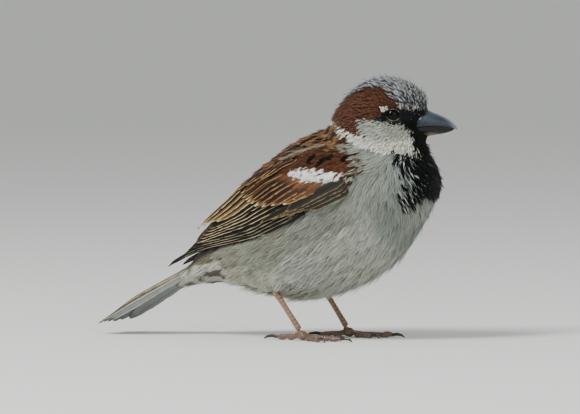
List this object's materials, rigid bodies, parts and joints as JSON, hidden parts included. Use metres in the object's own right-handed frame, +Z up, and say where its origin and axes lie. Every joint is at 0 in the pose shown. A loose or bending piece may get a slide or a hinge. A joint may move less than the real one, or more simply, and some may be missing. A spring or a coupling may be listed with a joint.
{
  "type": "house sparrow",
  "caption": "Life-size male house sparrow standing at rest with folded wings, sloping tail, stout conical bill and its head turned slightly to its left.",
  "frame": {"origin": "on the floor under the middle of the bird's bounding box", "axes": "+X to the front of the body, +Y to the bird's left, +Z up"},
  "size_m": [0.1326, 0.0494, 0.091],
  "materials": {
    "feather_chestnut": "matte chestnut and grey plumage of the head and wing coverts",
    "feather_grey": "soft matte grey plumage of the neck, breast, belly and back",
    "feather_brown": "brown flight feathers with buff edges",
    "feather_dark": "dark brown primaries with thin pale edges",
    "feather_tail": "grey-brown tail feathers with paler edges",
    "horn_bill": "smooth blue-black horn of the bill",
    "eye": "wet, near-black eye",
    "leg_skin": "pinkish brown scaled skin of the shanks and toes",
    "horn_claw": "dark brown horn of the claws"
  },
  "bodies": {
    "root": {"head": "feather_chestnut", "neck": "feather_grey", "trunk": "feather_grey", "rump": "feather_grey", "tail": "feather_tail", "bill_upper": "horn_bill", "bill_lower": "horn_bill", "eye_right": "eye", "wing_right_coverts": "feather_chestnut", "wing_right_secondaries": "feather_brown", "wing_right_primaries": "feather_dark", "thigh_right": "feather_grey", "tarsus_right": "leg_skin", "foot_right": "leg_skin", "toe_right_hind": "leg_skin", "claw_right_hind": "horn_claw", "toe_right_inner": "leg_skin", "claw_right_inner": "horn_claw", "toe_right_middle": "leg_skin", "claw_right_middle": "horn_claw", "toe_right_outer": "leg_skin", "claw_right_outer": "horn_claw", "eye_left": "eye", "wing_left_coverts": "feather_chestnut", "wing_left_secondaries": "feather_brown", "wing_left_primaries": "feather_dark", "thigh_left": "feather_grey", "tarsus_left": "leg_skin", "foot_left": "leg_skin", "toe_left_hind": "leg_skin", "claw_left_hind": "horn_claw", "toe_left_inner": "leg_skin", "claw_left_inner": "horn_claw", "toe_left_middle": "leg_skin", "claw_left_middle": "horn_claw", "toe_left_outer": "leg_skin", "claw_left_outer": "horn_claw"}
  },
  "joints": []
}
